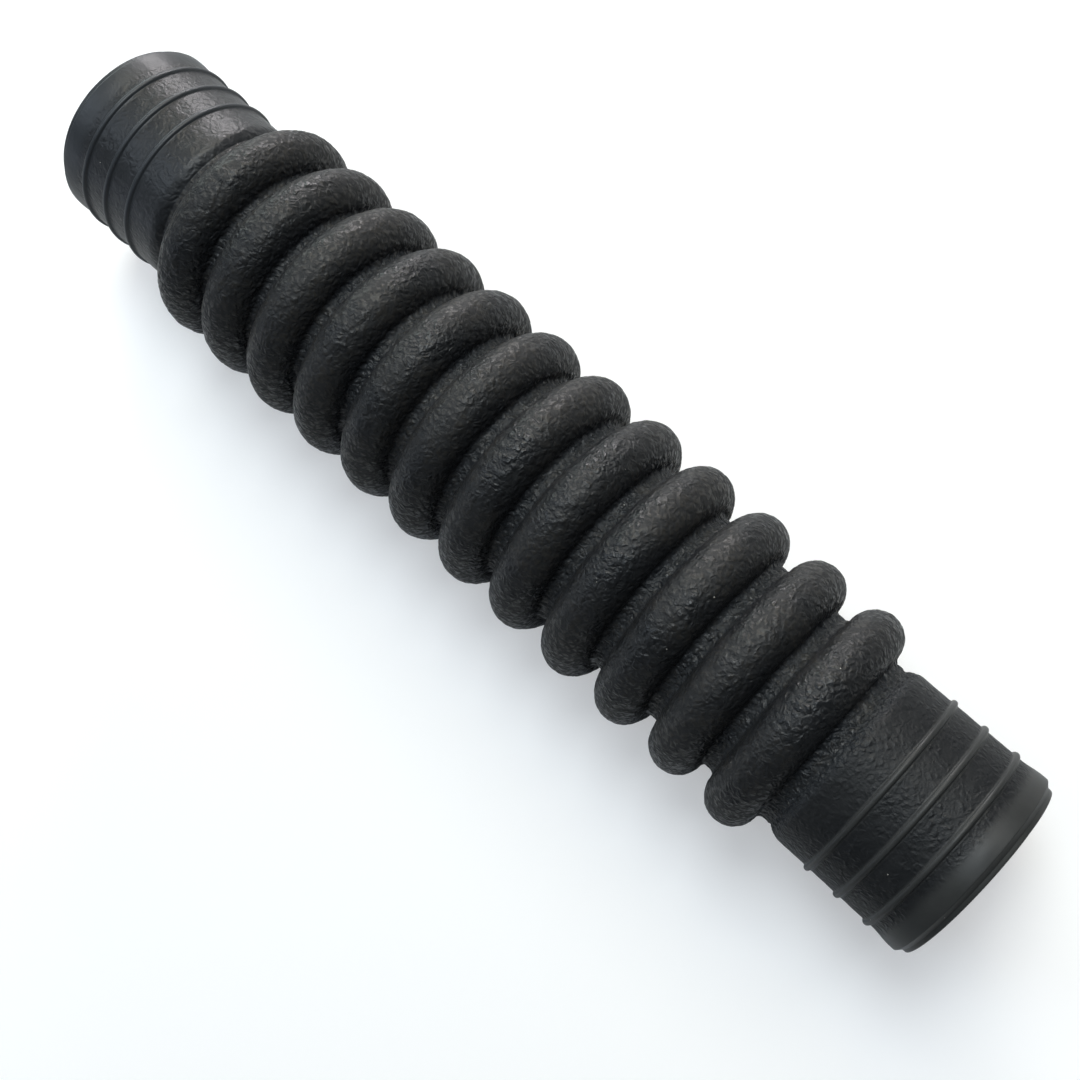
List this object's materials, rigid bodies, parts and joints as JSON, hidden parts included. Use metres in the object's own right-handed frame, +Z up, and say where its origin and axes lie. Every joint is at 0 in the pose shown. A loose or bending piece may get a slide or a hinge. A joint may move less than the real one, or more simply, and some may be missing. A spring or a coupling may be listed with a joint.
{
  "type": "vacuum hose",
  "caption": "Short moulded rubber bellows hose with round convolutions and a plain ringed cuff at each end, bent and stretched valley by valley.",
  "frame": {"origin": "on the floor under the middle of the hose, midway between its two end faces", "axes": "+X along the hose from cuff a to cuff b, +Z up, +Y across the hose"},
  "size_m": [0.2606, 0.0564, 0.056],
  "materials": {
    "cover_rubber": "matt grained mould finish",
    "tube_rubber": "smooth, slightly glossy",
    "spring_steel": "drawn wire"
  },
  "bodies": {
    "cuff_a": {"cuff_cover_a": "cover_rubber", "cuff_tube_a": "tube_rubber"},
    "valley_00": {"valley_web_00": "cover_rubber"},
    "crest_01": {"crest_cover_01": "cover_rubber", "crest_tube_01": "tube_rubber", "wire_hoop_01": "spring_steel"},
    "valley_01": {"valley_web_01": "cover_rubber"},
    "crest_02": {"crest_cover_02": "cover_rubber", "crest_tube_02": "tube_rubber", "wire_hoop_02": "spring_steel"},
    "valley_02": {"valley_web_02": "cover_rubber"},
    "crest_03": {"crest_cover_03": "cover_rubber", "crest_tube_03": "tube_rubber", "wire_hoop_03": "spring_steel"},
    "valley_03": {"valley_web_03": "cover_rubber"},
    "crest_04": {"crest_cover_04": "cover_rubber", "crest_tube_04": "tube_rubber", "wire_hoop_04": "spring_steel"},
    "valley_04": {"valley_web_04": "cover_rubber"},
    "crest_05": {"crest_cover_05": "cover_rubber", "crest_tube_05": "tube_rubber", "wire_hoop_05": "spring_steel"},
    "valley_05": {"valley_web_05": "cover_rubber"},
    "crest_06": {"crest_cover_06": "cover_rubber", "crest_tube_06": "tube_rubber", "wire_hoop_06": "spring_steel"},
    "valley_06": {"valley_web_06": "cover_rubber"},
    "crest_07": {"crest_cover_07": "cover_rubber", "crest_tube_07": "tube_rubber", "wire_hoop_07": "spring_steel"},
    "valley_07": {"valley_web_07": "cover_rubber"},
    "crest_08": {"crest_cover_08": "cover_rubber", "crest_tube_08": "tube_rubber", "wire_hoop_08": "spring_steel"},
    "valley_08": {"valley_web_08": "cover_rubber"},
    "crest_09": {"crest_cover_09": "cover_rubber", "crest_tube_09": "tube_rubber", "wire_hoop_09": "spring_steel"},
    "valley_09": {"valley_web_09": "cover_rubber"},
    "crest_10": {"crest_cover_10": "cover_rubber", "crest_tube_10": "tube_rubber", "wire_hoop_10": "spring_steel"},
    "valley_10": {"valley_web_10": "cover_rubber"},
    "crest_11": {"crest_cover_11": "cover_rubber", "crest_tube_11": "tube_rubber", "wire_hoop_11": "spring_steel"},
    "valley_11": {"valley_web_11": "cover_rubber"},
    "crest_12": {"crest_cover_12": "cover_rubber", "crest_tube_12": "tube_rubber", "wire_hoop_12": "spring_steel"},
    "valley_12": {"valley_web_12": "cover_rubber"},
    "cuff_b": {"cuff_cover_b": "cover_rubber", "cuff_tube_b": "tube_rubber"}
  },
  "joints": [
    {"name": "stretch_00", "type": "slide", "parent": "cuff_a", "child": "valley_00", "axis": [1, 0, 0], "range_m": [-0.0012, 0.003], "stiffness_N_per_m": 8000, "deforming": ["valley_web_00"]},
    {"name": "bend_00", "type": "hinge", "parent": "valley_00", "child": "crest_01", "pos_m": [-0.09295, 0, 0.02775], "axis": [0, 0, 1], "range_deg": [-7, 7], "stiffness_Nm_per_rad": 2, "deforming": ["valley_web_00"]},
    {"name": "stretch_01", "type": "slide", "parent": "crest_01", "child": "valley_01", "axis": [1, 0, 0], "range_m": [-0.0012, 0.003], "stiffness_N_per_m": 8000, "deforming": ["valley_web_01"]},
    {"name": "bend_01", "type": "hinge", "parent": "valley_01", "child": "crest_02", "pos_m": [-0.0775, 0, 0.02775], "axis": [0, 0, 1], "range_deg": [-7, 7], "stiffness_Nm_per_rad": 2, "deforming": ["valley_web_01"]},
    {"name": "stretch_02", "type": "slide", "parent": "crest_02", "child": "valley_02", "axis": [1, 0, 0], "range_m": [-0.0012, 0.003], "stiffness_N_per_m": 8000, "deforming": ["valley_web_02"]},
    {"name": "bend_02", "type": "hinge", "parent": "valley_02", "child": "crest_03", "pos_m": [-0.062, 0, 0.02775], "axis": [0, 0, 1], "range_deg": [-7, 7], "stiffness_Nm_per_rad": 2, "deforming": ["valley_web_02"]},
    {"name": "stretch_03", "type": "slide", "parent": "crest_03", "child": "valley_03", "axis": [1, 0, 0], "range_m": [-0.0012, 0.003], "stiffness_N_per_m": 8000, "deforming": ["valley_web_03"]},
    {"name": "bend_03", "type": "hinge", "parent": "valley_03", "child": "crest_04", "pos_m": [-0.0465, 0, 0.02775], "axis": [0, 0, 1], "range_deg": [-7, 7], "stiffness_Nm_per_rad": 2, "deforming": ["valley_web_03"]},
    {"name": "stretch_04", "type": "slide", "parent": "crest_04", "child": "valley_04", "axis": [1, 0, 0], "range_m": [-0.0012, 0.003], "stiffness_N_per_m": 8000, "deforming": ["valley_web_04"]},
    {"name": "bend_04", "type": "hinge", "parent": "valley_04", "child": "crest_05", "pos_m": [-0.031, 0, 0.02775], "axis": [0, 0, 1], "range_deg": [-7, 7], "stiffness_Nm_per_rad": 2, "deforming": ["valley_web_04"]},
    {"name": "stretch_05", "type": "slide", "parent": "crest_05", "child": "valley_05", "axis": [1, 0, 0], "range_m": [-0.0012, 0.003], "stiffness_N_per_m": 8000, "deforming": ["valley_web_05"]},
    {"name": "bend_05", "type": "hinge", "parent": "valley_05", "child": "crest_06", "pos_m": [-0.0155, 0, 0.02775], "axis": [0, 0, 1], "range_deg": [-7, 7], "stiffness_Nm_per_rad": 2, "deforming": ["valley_web_05"]},
    {"name": "stretch_06", "type": "slide", "parent": "crest_06", "child": "valley_06", "axis": [1, 0, 0], "range_m": [-0.0012, 0.003], "stiffness_N_per_m": 8000, "deforming": ["valley_web_06"]},
    {"name": "bend_06", "type": "hinge", "parent": "valley_06", "child": "crest_07", "pos_m": [0, 0, 0.02775], "axis": [0, 0, 1], "range_deg": [-7, 7], "stiffness_Nm_per_rad": 2, "deforming": ["valley_web_06"]},
    {"name": "stretch_07", "type": "slide", "parent": "crest_07", "child": "valley_07", "axis": [1, 0, 0], "range_m": [-0.0012, 0.003], "stiffness_N_per_m": 8000, "deforming": ["valley_web_07"]},
    {"name": "bend_07", "type": "hinge", "parent": "valley_07", "child": "crest_08", "pos_m": [0.0155, 0, 0.02775], "axis": [0, 0, 1], "range_deg": [-7, 7], "stiffness_Nm_per_rad": 2, "deforming": ["valley_web_07"]},
    {"name": "stretch_08", "type": "slide", "parent": "crest_08", "child": "valley_08", "axis": [1, 0, 0], "range_m": [-0.0012, 0.003], "stiffness_N_per_m": 8000, "deforming": ["valley_web_08"]},
    {"name": "bend_08", "type": "hinge", "parent": "valley_08", "child": "crest_09", "pos_m": [0.031, 0, 0.02775], "axis": [0, 0, 1], "range_deg": [-7, 7], "stiffness_Nm_per_rad": 2, "deforming": ["valley_web_08"]},
    {"name": "stretch_09", "type": "slide", "parent": "crest_09", "child": "valley_09", "axis": [1, 0, 0], "range_m": [-0.0012, 0.003], "stiffness_N_per_m": 8000, "deforming": ["valley_web_09"]},
    {"name": "bend_09", "type": "hinge", "parent": "valley_09", "child": "crest_10", "pos_m": [0.0465, 0, 0.02775], "axis": [0, 0, 1], "range_deg": [-7, 7], "stiffness_Nm_per_rad": 2, "deforming": ["valley_web_09"]},
    {"name": "stretch_10", "type": "slide", "parent": "crest_10", "child": "valley_10", "axis": [1, 0, 0], "range_m": [-0.0012, 0.003], "stiffness_N_per_m": 8000, "deforming": ["valley_web_10"]},
    {"name": "bend_10", "type": "hinge", "parent": "valley_10", "child": "crest_11", "pos_m": [0.062, 0, 0.02775], "axis": [0, 0, 1], "range_deg": [-7, 7], "stiffness_Nm_per_rad": 2, "deforming": ["valley_web_10"]},
    {"name": "stretch_11", "type": "slide", "parent": "crest_11", "child": "valley_11", "axis": [1, 0, 0], "range_m": [-0.0012, 0.003], "stiffness_N_per_m": 8000, "deforming": ["valley_web_11"]},
    {"name": "bend_11", "type": "hinge", "parent": "valley_11", "child": "crest_12", "pos_m": [0.0775, 0, 0.02775], "axis": [0, 0, 1], "range_deg": [-7, 7], "stiffness_Nm_per_rad": 2, "deforming": ["valley_web_11"]},
    {"name": "stretch_12", "type": "slide", "parent": "crest_12", "child": "valley_12", "axis": [1, 0, 0], "range_m": [-0.0012, 0.003], "stiffness_N_per_m": 8000, "deforming": ["valley_web_12"]},
    {"name": "bend_12", "type": "hinge", "parent": "valley_12", "child": "cuff_b", "pos_m": [0.09295, 0, 0.02775], "axis": [0, 0, 1], "range_deg": [-7, 7], "stiffness_Nm_per_rad": 2, "deforming": ["valley_web_12"]}
  ],
  "couplings": [
    {"joint": "stretch_01", "follows": "stretch_00", "ratio": 1},
    {"joint": "bend_01", "follows": "bend_00", "ratio": 1},
    {"joint": "stretch_02", "follows": "stretch_00", "ratio": 1},
    {"joint": "bend_02", "follows": "bend_00", "ratio": 1},
    {"joint": "stretch_03", "follows": "stretch_00", "ratio": 1},
    {"joint": "bend_03", "follows": "bend_00", "ratio": 1},
    {"joint": "stretch_04", "follows": "stretch_00", "ratio": 1},
    {"joint": "bend_04", "follows": "bend_00", "ratio": 1},
    {"joint": "stretch_05", "follows": "stretch_00", "ratio": 1},
    {"joint": "bend_05", "follows": "bend_00", "ratio": 1},
    {"joint": "stretch_06", "follows": "stretch_00", "ratio": 1},
    {"joint": "bend_06", "follows": "bend_00", "ratio": 1},
    {"joint": "stretch_07", "follows": "stretch_00", "ratio": 1},
    {"joint": "bend_07", "follows": "bend_00", "ratio": 1},
    {"joint": "stretch_08", "follows": "stretch_00", "ratio": 1},
    {"joint": "bend_08", "follows": "bend_00", "ratio": 1},
    {"joint": "stretch_09", "follows": "stretch_00", "ratio": 1},
    {"joint": "bend_09", "follows": "bend_00", "ratio": 1},
    {"joint": "stretch_10", "follows": "stretch_00", "ratio": 1},
    {"joint": "bend_10", "follows": "bend_00", "ratio": 1},
    {"joint": "stretch_11", "follows": "stretch_00", "ratio": 1},
    {"joint": "bend_11", "follows": "bend_00", "ratio": 1},
    {"joint": "stretch_12", "follows": "stretch_00", "ratio": 1},
    {"joint": "bend_12", "follows": "bend_00", "ratio": 1}
  ]
}
